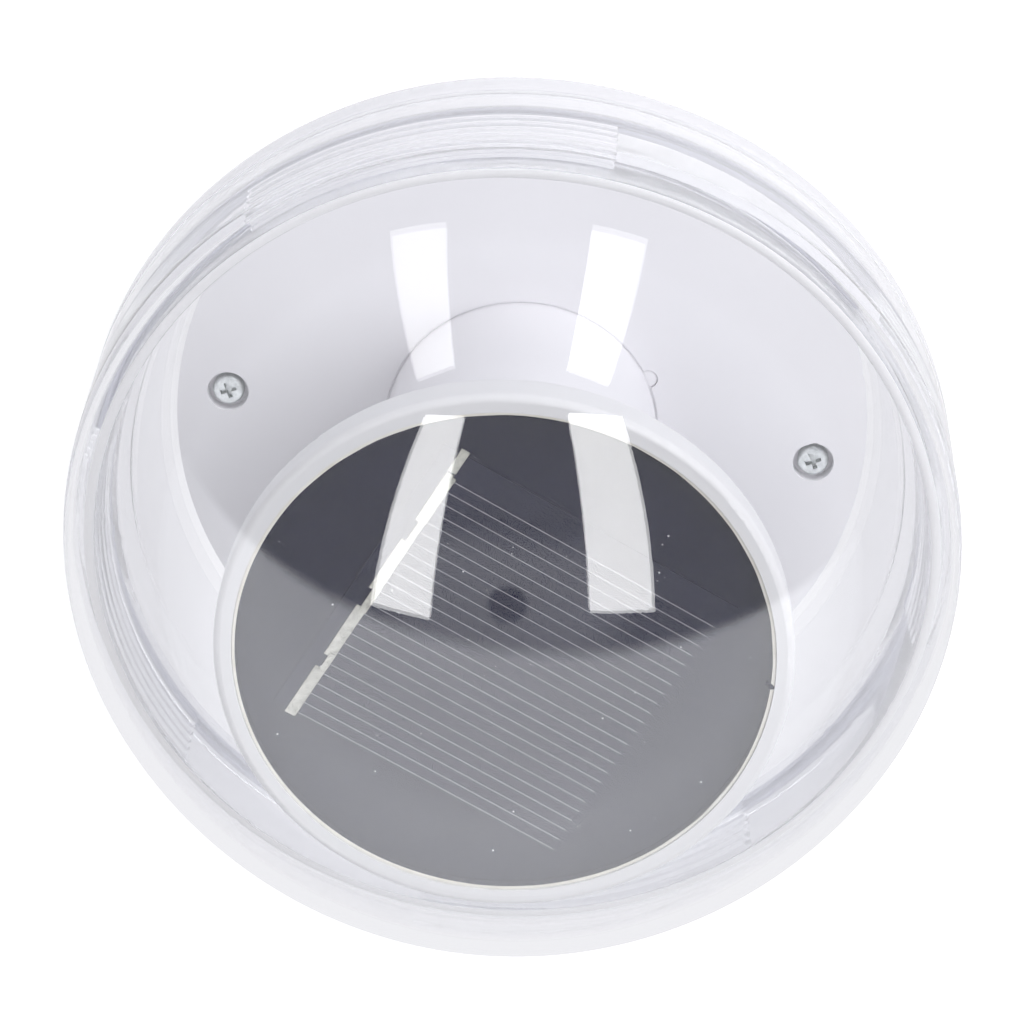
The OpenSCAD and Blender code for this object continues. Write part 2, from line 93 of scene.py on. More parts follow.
post_bore_z = 17.5
stem_hole_r = 18.0
key_turn = math.radians(210)
cell_turn = math.radians(155.5)
# The plastic has the rim's finish below the first height on the dome
# and above the second on the bowl
dome_finish_z = 67.0
bowl_finish_z = 30.0


# ---------------------------------------------------------------- material helpers
def new_material(name):
    mat = bpy.data.materials.new(name)
    mat.use_nodes = True
    tree = mat.node_tree
    tree.nodes.clear()
    out = tree.nodes.new("ShaderNodeOutputMaterial")
    bsdf = tree.nodes.new("ShaderNodeBsdfPrincipled")
    tree.links.new(bsdf.outputs[0], out.inputs[0])
    return mat, tree, bsdf, out


def object_noise(tree, scale, detail=3.0, rough=0.5, stretch=None):
    coord = tree.nodes.new("ShaderNodeTexCoord")
    source = coord.outputs["Object"]
    if stretch:
        mapping = tree.nodes.new("ShaderNodeMapping")
        mapping.inputs["Scale"].default_value = stretch
        tree.links.new(source, mapping.inputs["Vector"])
        source = mapping.outputs[0]
    noise = tree.nodes.new("ShaderNodeTexNoise")
    noise.inputs["Scale"].default_value = scale
    noise.inputs["Detail"].default_value = detail
    noise.inputs["Roughness"].default_value = rough
    tree.links.new(source, noise.inputs["Vector"])
    return noise.outputs["Fac"]


def ramp(tree, source, stops):
    node = tree.nodes.new("ShaderNodeValToRGB")
    while len(node.color_ramp.elements) < len(stops):
        node.color_ramp.elements.new(0.5)
    for element, (at, colour) in zip(node.color_ramp.elements, stops):
        element.position = at
        element.color = (*colour, 1)
    tree.links.new(source, node.inputs[0])
    return node.outputs[0]


def map_range(tree, source, low, high, to_low, to_high):
    node = tree.nodes.new("ShaderNodeMapRange")
    for key, value in (("From Min", low), ("From Max", high),
                       ("To Min", to_low), ("To Max", to_high)):
        node.inputs[key].default_value = value
    tree.links.new(source, node.inputs["Value"])
    return node.outputs[0]


def add_bump(tree, bsdf, source, strength, distance_mm):
    bump = tree.nodes.new("ShaderNodeBump")
    bump.inputs["Strength"].default_value = strength
    bump.inputs["Distance"].default_value = distance_mm * MM
    tree.links.new(source, bump.inputs["Height"])
    tree.links.new(bump.outputs[0], bsdf.inputs["Normal"])
    return bump


def plastic(name, dark, light, rough, grain, bump_mm, patch=30.0, spec=0.5):
    """Moulded plastic: a slow drift in colour, a fine grain in the gloss and the surface."""
    mat, tree, bsdf, _ = new_material(name)
    drift = object_noise(tree, patch, 2.0)
    tree.links.new(ramp(tree, drift, [(0.3, dark), (0.7, light)]), bsdf.inputs["Base Color"])
    fine = object_noise(tree, grain, 4.0, 0.6)
    gloss = map_range(tree, fine, 0.3, 0.7, rough - 0.04, rough + 0.05)
    tree.links.new(gloss, bsdf.inputs["Roughness"])
    bsdf.inputs["Specular IOR Level"].default_value = spec
    add_bump(tree, bsdf, fine, 0.35, bump_mm)
    return mat


def metal(name, dark, light, rough, grain, stretch=None, bump_mm=0.01):
    """Metal with a fine grain in its colour, gloss and surface."""
    mat, tree, bsdf, _ = new_material(name)
    fine = object_noise(tree, grain, 5.0, 0.65, stretch)
    tree.links.new(ramp(tree, fine, [(0.3, dark), (0.7, light)]), bsdf.inputs["Base Color"])
    gloss = map_range(tree, fine, 0.3, 0.7, rough + 0.08, rough - 0.04)
    tree.links.new(gloss, bsdf.inputs["Roughness"])
    bsdf.inputs["Metallic"].default_value = 1.0
    add_bump(tree, bsdf, fine, 0.4, bump_mm)
    return mat


def clear(name, tint, rough, ior, wave=60.0, wave_mm=0.004, scratch=0.0, haze=0.0):
    """Clear plastic that bends light; lamps and bounced light pass straight through it.

    haze is its milky share."""
    mat, tree, bsdf, out = new_material(name)
    bsdf.inputs["Transmission Weight"].default_value = 1.0 - haze
    bsdf.inputs["Roughness"].default_value = rough
    bsdf.inputs["IOR"].default_value = ior
    drift = object_noise(tree, wave, 2.0)
    paler = tuple(min(1, c + 0.012) for c in tint)
    tree.links.new(ramp(tree, drift, [(0.35, tint), (0.65, paler)]), bsdf.inputs["Base Color"])
    height = drift
    if scratch:
        lines = object_noise(tree, 260.0, 6.0, 0.8, (1.0, 9.0, 1.0))
        add = tree.nodes.new("ShaderNodeMath")
        add.operation = "MULTIPLY_ADD"
        tree.links.new(lines, add.inputs[0])
        add.inputs[1].default_value = scratch
        tree.links.new(drift, add.inputs[2])
        height = add.outputs[0]
    add_bump(tree, bsdf, height, 0.5, wave_mm)
    path = tree.nodes.new("ShaderNodeLightPath")
    see = tree.nodes.new("ShaderNodeBsdfTransparent")
    see.inputs[0].default_value = (0.95, 0.955, 0.965, 1)
    shader = bsdf.outputs[0]
    for ray in ("Is Shadow Ray", "Is Diffuse Ray"):
        mix = tree.nodes.new("ShaderNodeMixShader")
        tree.links.new(path.outputs[ray], mix.inputs[0])
        tree.links.new(shader, mix.inputs[1])
        tree.links.new(see.outputs[0], mix.inputs[2])
        shader = mix.outputs[0]
    tree.links.new(shader, out.inputs[0])
    return mat


# Finishes by material slot. The last ones are for pieces whose finish differs from their slot's:
# the shells' upper parts bend light less and are a little milky, so they show no streaks
M = {
    "clear_shell": clear("clear_shell_plastic", (0.975, 0.975, 0.982), 0.0, 1.57,
                         35.0, 0.003, 0.03),
    "clear_rim": clear("clear_rim_plastic", (0.94, 0.939, 0.951), 0.0, 1.2,
                       35.0, 0.002, haze=0.18),
    "clear_bowl": clear("clear_bowl_plastic", (0.975, 0.975, 0.982), 0.0, 1.2,
                        35.0, 0.002, haze=0.03),
    "clear_edge": plastic("satin_clear_edge", (0.78, 0.775, 0.79), (0.82, 0.815, 0.83),
                          0.4, 900.0, 0.01),
    "seal": clear("seal_rubber", (0.52, 0.53, 0.6), 0.12, 1.42, 200.0, 0.02),
    "white_plastic": plastic("white_satin_plastic", (0.82, 0.808, 0.83), (0.86, 0.848, 0.87),
                             0.42, 900.0, 0.012),
    "white_gloss": plastic("white_gloss_plastic", (0.745, 0.741, 0.755), (0.775, 0.771, 0.785),
                           0.36, 500.0, 0.002),
    "zinc_screw": metal("zinc_plated_steel", (0.44, 0.46, 0.46), (0.66, 0.68, 0.68), 0.45, 1500.0),
    "panel_black": plastic("black_glass_fibre", (0.006, 0.006, 0.024), (0.009, 0.009, 0.031),
                           0.5, 1300.0, 0.01, 120.0, spec=0.2),
    "silicon": plastic("coated_silicon", (0.006, 0.006, 0.026), (0.009, 0.009, 0.034),
                       0.3, 800.0, 0.004, 90.0, spec=0.2),
    "ribbon": metal("tinned_ribbon", (0.34, 0.335, 0.3), (0.56, 0.555, 0.5),
                    0.5, 1100.0, None, 0.03),
    "finger": metal("silver_paste", (0.38, 0.38, 0.41), (0.56, 0.56, 0.6), 0.5, 2500.0),
    "resin": clear("potting_resin", (0.97, 0.97, 0.98), 0.0, 1.4, 90.0, 0.003),
    "sealant": plastic("cream_sealant", (0.78, 0.75, 0.67), (0.88, 0.86, 0.8),
                       0.45, 600.0, 0.05, 300.0),
    "lead_red": plastic("red_insulation", (0.5, 0.03, 0.02), (0.66, 0.05, 0.04), 0.4, 900.0, 0.02),
    "lead_black": plastic("black_insulation", (0.015, 0.015, 0.016), (0.035, 0.035, 0.036),
                          0.4, 900.0, 0.02),
    "board": plastic("white_solder_mask", (0.66, 0.69, 0.67), (0.76, 0.79, 0.77),
                     0.33, 700.0, 0.015, 160.0),
    "solder": metal("solder", (0.5, 0.51, 0.53), (0.8, 0.81, 0.83), 0.28, 1600.0, None, 0.03),
    "lamp": clear("lamp_epoxy", (0.95, 0.96, 0.985), 0.02, 1.5, 300.0, 0.004),
    "black_plastic": plastic("black_moulded_plastic", (0.012, 0.012, 0.014), (0.032, 0.032, 0.036),
                             0.45, 1100.0, 0.02, 60.0),
    "ferrite": plastic("ferrite", (0.035, 0.035, 0.037), (0.075, 0.074, 0.073),
                       0.6, 1800.0, 0.03, 300.0),
    "copper": metal("enamelled_copper", (0.42, 0.15, 0.05), (0.78, 0.38, 0.17), 0.3, 1200.0),
    "can": metal("bright_can", (0.55, 0.56, 0.58), (0.78, 0.79, 0.81), 0.24, 900.0, (1, 1, 6)),
    "nickel": metal("nickel_plate", (0.55, 0.53, 0.5), (0.8, 0.78, 0.74), 0.2, 1400.0),
    "phosphor": plastic("yellow_phosphor", (0.8, 0.62, 0.12), (0.9, 0.74, 0.2), 0.5, 2000.0, 0.02),
    "dust": plastic("pale_dust", (0.7, 0.7, 0.72), (0.95, 0.95, 0.97), 0.6, 3000.0, 0.02),
}


def battery_material():
    """A plain green shrink sleeve that leaves the two steel ends bare."""
    mat, tree, bsdf, _ = new_material("green_sleeve_and_steel")
    low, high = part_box("battery")
    coord = tree.nodes.new("ShaderNodeTexCoord")
    split = tree.nodes.new("ShaderNodeSeparateXYZ")
    tree.links.new(coord.outputs["Object"], split.inputs[0])
    away = tree.nodes.new("ShaderNodeMath")
    away.operation = "SUBTRACT"
    tree.links.new(split.outputs["X"], away.inputs[0])
    away.inputs[1].default_value = (low.x + high.x - 1.2 * MM) / 2
    size = tree.nodes.new("ShaderNodeMath")
    size.operation = "ABSOLUTE"
    tree.links.new(away.outputs[0], size.inputs[0])
    bare = map_range(tree, size.outputs[0], 23.62 * MM, 23.7 * MM, 0.0, 1.0)
    grain = object_noise(tree, 260.0, 3.0)
    green = ramp(tree, grain, [(0.3, (0.02, 0.2, 0.07)), (0.7, (0.03, 0.27, 0.1))])
    steel = ramp(tree, grain, [(0.3, (0.5, 0.5, 0.49)), (0.7, (0.72, 0.71, 0.7))])
    mix = tree.nodes.new("ShaderNodeMix")
    mix.data_type = "RGBA"
    tree.links.new(bare, mix.inputs["Factor"])
    tree.links.new(green, mix.inputs[6])
    tree.links.new(steel, mix.inputs[7])
    tree.links.new(mix.outputs[2], bsdf.inputs["Base Color"])
    tree.links.new(bare, bsdf.inputs["Metallic"])
    tree.links.new(map_range(tree, grain, 0.3, 0.7, 0.22, 0.34), bsdf.inputs["Roughness"])
    add_bump(tree, bsdf, grain, 0.4, 0.05)
    return mat


M["battery_wrap"] = battery_material()

for row in frame["record"]["subparts"]:
    node = nodes[row["node"]]
    node.data.materials.clear()
    node.data.materials.append(M[row["material_slot"]])


# ---------------------------------------------------------------- mesh helpers, all in mm
def add_piece(name, verts, faces, slot, body, angle=None, material=None):
    """Makes a smooth piece, sharp over angle degrees, with its slot's finish or another."""
    mesh = bpy.data.meshes.new(name)
    mesh.from_pydata([Vector(v) * MM for v in verts], [], faces)
    bm = bmesh.new()
    bm.from_mesh(mesh)
    bmesh.ops.recalc_face_normals(bm, faces=bm.faces)
    bm.to_mesh(mesh)
    bm.free()
    for face in mesh.polygons:
        face.use_smooth = True
    if angle:
        mesh.set_sharp_from_angle(angle=math.radians(angle))
    obj = bpy.data.objects.new(name, mesh)
    bpy.context.scene.collection.objects.link(obj)
    mesh.materials.append(material or M[slot])
    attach(obj, body)
    return obj


def two_finishes(obj, material, limit_z):
    """Gives the faces below limit_z another material."""
    obj.data.materials.append(material)
    for face in obj.data.polygons:
        face.material_index = int(face.center.z < limit_z * MM)


def arc(cx, cz, r, a0, a1, steps):
    """Points on an arc in the r-z plane, from angle a0 to a1 in degrees, 0 pointing outward."""
    return [(cx + r * math.cos(math.radians(a0 + (a1 - a0) * i / steps)),
             cz + r * math.sin(math.radians(a0 + (a1 - a0) * i / steps))) for i in range(steps + 1)]


def lathe(profile_at, azimuths, closed_loop):
    """Revolves profile_at(azimuth), a list of (r, z). An open one starts and ends on the axis."""
    count = len(azimuths)
    first = profile_at(azimuths[0])
    verts, faces = [], []
    rings = range(len(first)) if closed_loop else range(1, len(first) - 1)
    rows = [profile_at(a) for a in azimuths]
    for k in rings:
        for a, row in zip(azimuths, rows):
            verts.append((row[k][0] * math.cos(a), row[k][0] * math.sin(a), row[k][1]))
    n = len(rings)
    for k in range(n if closed_loop else n - 1):
        for i in range(count):
            j, k2 = (i + 1) % count, (k + 1) % n
            faces.append((k * count + i, k * count + j, k2 * count + j, k2 * count + i))
    if not closed_loop:
        for ring, point in ((0, first[0]), (n - 1, first[-1])):
            verts.append((0, 0, point[1]))
            tip = len(verts) - 1
            for i in range(count):
                faces.append((tip, ring * count + i, ring * count + (i + 1) % count))
    return verts, faces


def even(count):
    return [2 * math.pi * i / count for i in range(count)]


def segment_share(a):
    """1 on a thread segment, 0 in the gaps, with a steep moulded end."""
    step = math.pi / 2
    off = abs((a - thread_first + step / 2) % step - step / 2)
    return min(1.0, max(0.0, (thread_half - off) / math.radians(0.12) + 0.5))


def thread_azimuths(count):
    """Even steps, with extra ones at the ends of each thread segment."""
    out = set(round(a, 7) for a in even(count))
    for k in range(4):
        for side in (-1, 1):
            end = thread_first + k * math.pi / 2 + side * thread_half
            out = {a for a in out
                   if abs((a - end + math.pi) % (2 * math.pi) - math.pi) > math.radians(0.2)}
            for off in (-0.12, -0.06, 0.0, 0.06, 0.12):
                out.add(round((end + math.radians(off)) % (2 * math.pi), 7))
    return sorted(out)


def ridge_points(wall_r, z, height, share):
    """One ridge of the thread, from the bottom up: a rounded trapezium on the wall.

    A negative height points inward."""
    half, crest = 0.55, 0.2
    shape = [(0, -half), (0.18, -half + 0.1), (0.55, -crest - 0.1), (0.66, -crest),
             (0.7, -crest + 0.08), (0.7, crest - 0.08), (0.66, crest),
             (0.55, crest + 0.1), (0.18, half - 0.1), (0, half)]
    return [(wall_r + height * h / ridge_h * share, z + dz) for h, dz in shape]


# ---------------------------------------------------------------- dome
fillet_at = (rim_r - fillet_r, cap_z + math.sqrt((cap_r - fillet_r) ** 2 - (rim_r - fillet_r) ** 2))
lean = math.degrees(math.atan2(fillet_at[1] - cap_z, fillet_at[0]))


def dome_profile(a):
    s = segment_share(a)
    p = [(0.0, apex)]
    p += arc(0, cap_z, cap_r, 89.4, lean, 60)
    p += arc(*fillet_at, fillet_r, lean, 0, 7)[1:]
    p += [(rim_r, z) for z in (62.5, 59.5, 56.5, 53.5)]
    p += arc(rim_r - edge_r, skirt_z + edge_r, edge_r, 0, -90, 5)
    p += [(skirt_in_r + 0.15, skirt_z), (skirt_in_r, skirt_z + 0.15), (skirt_in_r, 53.2),
          (skirt_in_r, 56.05), (skirt_in_r - 0.15, 56.2), (dome_in_r, 56.3)]
    for z in dome_ridges:
        p += ridge_points(dome_in_r, z, -ridge_h, s)
    p += arc(*fillet_at, fillet_r - wall, 0, lean, 7)
    p += arc(0, cap_z, cap_r - wall, lean, 89.4, 60)[1:]
    p.append((0.0, cap_z + cap_r - wall))
    return p


dome = add_piece("dome_shell", *lathe(dome_profile, thread_azimuths(360), False),
                 "clear_shell", "dome", angle=32)
two_finishes(dome, M["clear_rim"], dome_finish_z)
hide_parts("dome")


# ---------------------------------------------------------------- bowl
foot_r = math.sqrt(bowl_r ** 2 - rim_z ** 2)
floor_r = math.sqrt(bowl_in_r ** 2 - (rim_z - wall) ** 2)


def bowl_profile(a):
    s = segment_share(a)
    low = -math.degrees(math.asin(rim_z / bowl_r))
    low_in = -math.degrees(math.asin((rim_z - wall) / bowl_in_r))
    p = [(0.0, 0.0), (2.0, 0.0), (9.0, 0.0), (16.0, 0.0), (foot_r - 0.6, 0.0), (foot_r - 0.1, 0.06)]
    p += arc(0, rim_z, bowl_r, low + 0.7, -0.4, 44)
    p += [(bowl_r, rim_z - 0.02), (bowl_r + 0.25, rim_z)]
    p += arc(rim_r - edge_r, rim_z + edge_r, edge_r, -90, 0, 5)
    p += arc(rim_r - edge_r, flange_top - edge_r, edge_r, 0, 90, 5)
    p += [(53.35, flange_top), (53.2, flange_top + 0.15), (53.2, neck_foot - 0.15),
          (53.05, neck_foot), (neck_r + 0.15, neck_foot), (neck_r, neck_foot + 0.1)]
    for z in bowl_ridges:
        p += ridge_points(neck_r, z, ridge_h, s)
    p += [(neck_r, neck_top - 0.25), (neck_r - 0.08, neck_top - 0.07), (neck_r - 0.25, neck_top),
          (neck_in_r + 0.25, neck_top), (neck_in_r + 0.08, neck_top - 0.07),
          (neck_in_r, neck_top - 0.25)]
    for i in range(13):
        t = i / 12
        ease = t * t * (3 - 2 * t)
        p.append((neck_in_r + (bowl_in_r - neck_in_r) * ease, blend_top + (rim_z - blend_top) * t))
    p += arc(0, rim_z, bowl_in_r, 0, low_in + 0.5, 44)[1:]
    p += [(floor_r - 0.5, wall + 0.02), (floor_r - 1.2, wall),
          (12.0, wall), (4.0, wall), (0.0, wall)]
    return p


bowl = add_piece("bowl_shell", *lathe(bowl_profile, thread_azimuths(360), False),
                 "clear_shell", "base", angle=32, material=M["clear_rim"])
two_finishes(bowl, M["clear_bowl"], bowl_finish_z)
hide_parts("bowl")

# The neck's top face is satin where the mould parted
edge_in, edge_out = neck_in_r + 0.1, neck_r - 0.1
edge_ring = [(edge_in, neck_top - 0.2), (edge_out, neck_top - 0.2), (edge_out, neck_top - 0.05),
             (edge_out - 0.1, neck_top + 0.01), (edge_in + 0.1, neck_top + 0.01),
             (edge_in, neck_top - 0.05)]
add_piece("neck_edge", *lathe(lambda a: edge_ring, even(240), True),
          "clear_shell", "base", angle=50, material=M["clear_edge"])

# Four posts of the bowl, each standing on the round wall inside it.
# Two are bored for the plate's screws
posts_v, posts_f = [], []
for k in range(4):
    cx, cy = post_at * math.cos(k * math.pi / 2), post_at * math.sin(k * math.pi / 2)
    steps = 40
    bored = k in (0, 2)
    base = len(posts_v)
    levels = [(post_r, None), (post_r, post_top - 0.18), (post_r - 0.15, post_top)]
    if bored:
        levels += [(post_bore_r + 0.3, post_top), (post_bore_r, post_top - 0.28),
                   (post_bore_r, post_bore_z)]
    else:
        levels += [(post_bore_r + 0.2, post_top)]
    for r, z in levels:
        for i in range(steps):
            t = 2 * math.pi * i / steps
            x, y = cx + r * math.cos(t), cy + r * math.sin(t)
            if z is None:
                posts_v.append((x, y, rim_z - math.sqrt(bowl_in_r ** 2 - x * x - y * y) + 0.02))
            else:
                posts_v.append((x, y, z))
    for k2 in range(len(levels) - 1):
        for i in range(steps):
            j = (i + 1) % steps
            posts_f.append((base + k2 * steps + i, base + k2 * steps + j,
                            base + (k2 + 1) * steps + j, base + (k2 + 1) * steps + i))
    posts_f.append(tuple(base + i for i in range(steps)))
    posts_f.append(tuple(base + (len(levels) - 1) * steps + i for i in range(steps)))
add_piece("bowl_posts", posts_v, posts_f, "clear_shell", "base", angle=32, material=M["clear_bowl"])

# ---------------------------------------------------------------- seal ring
seal_r = (seal_high.x + seal_high.x - (seal_high.z - seal_low.z)) / 2
seal_z = (seal_low.z + seal_high.z) / 2
section = (seal_high.z - seal_low.z) / 2
seal_section = arc(seal_r, seal_z, section * 0.995, 0, 345, 23)
seal = add_piece("seal_band", *lathe(lambda a: seal_section, even(240), True), "seal", "seal")
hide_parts("seal_ring")

# ---------------------------------------------------------------- seat of the pedestal in the plate
# A thin ring fills the joint and leaves a shallow groove
seat_in, seat_out = stem_hole_r - 0.28, stem_hole_r - 0.01
seat_ring = [(seat_in, plate_z - 1.2), (seat_out, plate_z - 1.2), (seat_out, plate_z - 0.05),
             (seat_out - 0.04, plate_z - 0.12), (seat_out - 0.13, plate_z - 0.22),
             (seat_in + 0.06, plate_z - 0.2), (seat_in, plate_z - 0.12)]
add_piece("stem_fillet", *lathe(lambda a: seat_ring, even(200), True),
          "white_plastic", "base", angle=50)

# The key that sits in the plate's notch beside the pedestal
key_top = [(0.0, plate_z - 0.12), (0.8, plate_z - 0.13), (1.1, plate_z - 0.18),
           (1.24, plate_z - 0.3), (1.27, plate_z - 0.6), (1.27, plate_z - 1.4), (0.0, plate_z - 1.4)]
key_v, key_f = lathe(lambda a: key_top, even(48), False)
key_x, key_y = stem_hole_r * math.cos(key_turn), stem_hole_r * math.sin(key_turn)
key_v = [(x + key_x, y + key_y, z) for x, y, z in key_v]
add_piece("stem_key", key_v, key_f, "white_plastic", "base", angle=40)

# ---------------------------------------------------------------- solar panel
def on_cell(x, y, z):
    return (x * math.cos(cell_turn) - y * math.sin(cell_turn),
            x * math.sin(cell_turn) + y * math.cos(cell_turn), z)


def bar(verts, faces, x0, x1, y0, y1, z0, z1, edge):
    """A flat bar on the cell's axes with its upper edges taken off."""
    base = len(verts)
    for z, inset in ((z0, 0.0), (z1 - edge, 0.0), (z1, edge)):
        left, right, front, back = x0 + inset, x1 - inset, y0 + inset, y1 - inset
        for x, y in ((left, front), (right, front), (right, back), (left, back)):
            verts.append(on_cell(x, y, z))
    for k in range(2):
        for i in range(4):
            j = (i + 1) % 4
            low, high = base + 4 * k, base + 4 * k + 4
            faces.append((low + i, low + j, high + j, high + i))
    faces.append((base + 3, base + 2, base + 1, base))
    faces.append((base + 8, base + 9, base + 10, base + 11))


finger_pitch = 1.505
lift_off = 0.004            # keeps the pieces clear of the cell's face
fingers_v, fingers_f = [], []
# The cell is cut into four strips of six fingers, with a wider step between some of them
for first_y in (15.95, 6.9, -2.6, -11.9):
    for i in range(6):
        y = first_y - finger_pitch * i
        half = 0.036 + 0.008 * rng.random()
        bar(fingers_v, fingers_f, -16.5 + 0.15 * rng.random(), 18.4 + 0.15 * rng.random(),
            y - half, y + half, cell_top + lift_off, cell_top + 0.05, 0.015)
add_piece("cell_fingers", fingers_v, fingers_f, "ribbon", "base", angle=30, material=M["finger"])

# The ribbon: pads and narrower links laid end to end, each a little out of line.
# Each row holds the start and end as shares of the length, the width and the offset
ribbon_v, ribbon_f = [], []
ribbon_x = -17.0
half_l = 20.1
layout = [(0.0, 0.08, 1.1, 0.1), (0.084, 0.1, 0.9, 0.1), (0.092, 0.262, 1.4, -0.12),
          (0.262, 0.35, 0.8, -0.3), (0.335, 0.52, 1.4, -0.05), (0.505, 0.60, 0.95, -0.32),
          (0.585, 0.775, 1.35, 0.0), (0.762, 0.83, 0.8, -0.3), (0.82, 1.0, 1.4, 0.02)]
for k, (start, end, wide, off) in enumerate(layout):
    y0, y1 = -half_l + 2 * half_l * start, -half_l + 2 * half_l * end
    lift = 0.05 * (k % 2)
    x = ribbon_x - off
    bar(ribbon_v, ribbon_f, x - wide / 2, x + wide / 2, -y1, -y0, cell_top + lift_off,
        cell_top + 0.1 + lift + 0.01 * rng.random(), 0.04)
ribbon = add_piece("solder_ribbon", ribbon_v, ribbon_f, "ribbon", "base", angle=30)
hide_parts("cell_ribbon")

resin_r = 30.965
resin_low = cell_top - 0.5


def resin_profile(a):
    """The resin's surface creeps up where it met the wall, more in some places than in others."""
    p = [(r, face_z) for r in (0.0, 1.0, 6.0, 12.0, 18.0, 24.0, 28.2)]
    creep = 0.1 + 0.07 * math.sin(3 * a + 0.6) + 0.04 * math.sin(7 * a + 2.0)
    for r, share in ((29.3, 0.01), (29.8, 0.1), (30.2, 0.35), (30.5, 0.75),
                     (30.72, 1.2), (30.88, 1.3), (30.955, 0.9)):
        p.append((r, face_z + share * creep))
    p += [(resin_r, face_z - 0.1), (resin_r, resin_low), (20.0, resin_low), (0.0, resin_low)]
    return p


resin = add_piece("resin_layer", *lathe(resin_profile, even(240), False), "resin", "base", angle=32)
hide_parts("panel_resin")

# The sealant bead that fills the joint between the resin and the lip, a little uneven
wobble = [(rng.uniform(0.2, 1.0), rng.randint(3, 37), rng.uniform(0, 6.28)) for _ in range(14)]


def sealant_profile(a):
    w = sum(s * math.sin(n * a + ph) for s, n, ph in wobble) / 8
    inner, outer = panel_r + 0.03, panel_r + 0.385
    top = face_z + 0.03 + 0.05 * w
    return [(inner, panel_seat + 0.02), (outer, panel_seat + 0.02), (outer, top - 0.1),
            (outer - 0.04, top), (outer - 0.18, top + 0.04), (inner - 0.05 - 0.05 * w, top),
            (inner - 0.07 - 0.05 * w, top - 0.06), (inner, top - 0.16)]


sealant = add_piece("sealant_bead", *lathe(sealant_profile, even(300), True),
                    "sealant", "base", angle=50)
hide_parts("panel_sealant")


def lump(verts, faces, cx, cy, cz, r, squash, rough):
    """A small uneven grain."""
    bm = bmesh.new()
    bmesh.ops.create_icosphere(bm, subdivisions=1, radius=1.0)
    base = len(verts)
    for v in bm.verts:
        k = r * (1 + rough * (rng.random() - 0.5))
        verts.append((cx + v.co.x * k, cy + v.co.y * k, cz + v.co.z * k * squash))
    for f in bm.faces:
        faces.append(tuple(base + v.index for v in f.verts))
    bm.free()


specks_v, specks_f = [], []
for _ in range(80):
    t, d = rng.uniform(0, 2 * math.pi), 29.5 * math.sqrt(rng.random())
    lump(specks_v, specks_f, d * math.cos(t), d * math.sin(t), face_z - 0.25 - 0.4 * rng.random(),
         rng.choice((0.04, 0.05, 0.06, 0.08, 0.12)), 0.7, 0.6)
add_piece("resin_specks", specks_v, specks_f, "resin", "base", material=M["dust"])

# A dark chip at the resin's edge, in two grains
chip_v, chip_f = [], []
nick = math.radians(181)
for turn, dist, lift, size, squash in ((nick, 30.95, 0.06, 0.42, 0.35),
                                       (nick + 0.012, 30.5, 0.04, 0.26, 0.3)):
    lump(chip_v, chip_f, dist * math.cos(turn), dist * math.sin(turn), face_z + lift,
         size, squash, 0.9)
add_piece("edge_chip", chip_v, chip_f, "panel_black", "base")


# ---------------------------------------------------------------- electronics detail
def tube(points, radius, sides):
    """A round tube along a list of points, closed at both ends."""
    pts = [Vector(p) for p in points]
    verts, faces = [], []
    side = Vector((0, 0, 1)) if abs((pts[1] - pts[0]).normalized().z) < 0.9 else Vector((1, 0, 0))
    for i, p in enumerate(pts):
        along = (pts[min(i + 1, len(pts) - 1)] - pts[max(i - 1, 0)]).normalized()
        side = (side - along * side.dot(along)).normalized()
        other = along.cross(side)
        for k in range(sides):
            t = 2 * math.pi * k / sides
            verts.append(p + radius * (math.cos(t) * side + math.sin(t) * other))
    for i in range(len(pts) - 1):
        for k in range(sides):
            j = (k + 1) % sides
            faces.append((i * sides + k, i * sides + j, (i + 1) * sides + j, (i + 1) * sides + k))
    faces.append(tuple(range(sides - 1, -1, -1)))
    faces.append(tuple((len(pts) - 1) * sides + k for k in range(sides)))
    return verts, faces


def merge(parts):
    """Joins a list of vertex and face lists into one pair."""
    verts, faces = [], []
    for v, f in parts:
        faces += [tuple(i + len(verts) for i in face) for face in f]
        verts += [tuple(p) for p in v]
    return verts, faces


def turned(profile, cx, cy, count=40):
    """An open profile revolved about an upright axis through cx, cy."""
    verts, faces = lathe(lambda a: profile, even(count), False)
    return [(x + cx, y + cy, z) for x, y, z in verts], faces


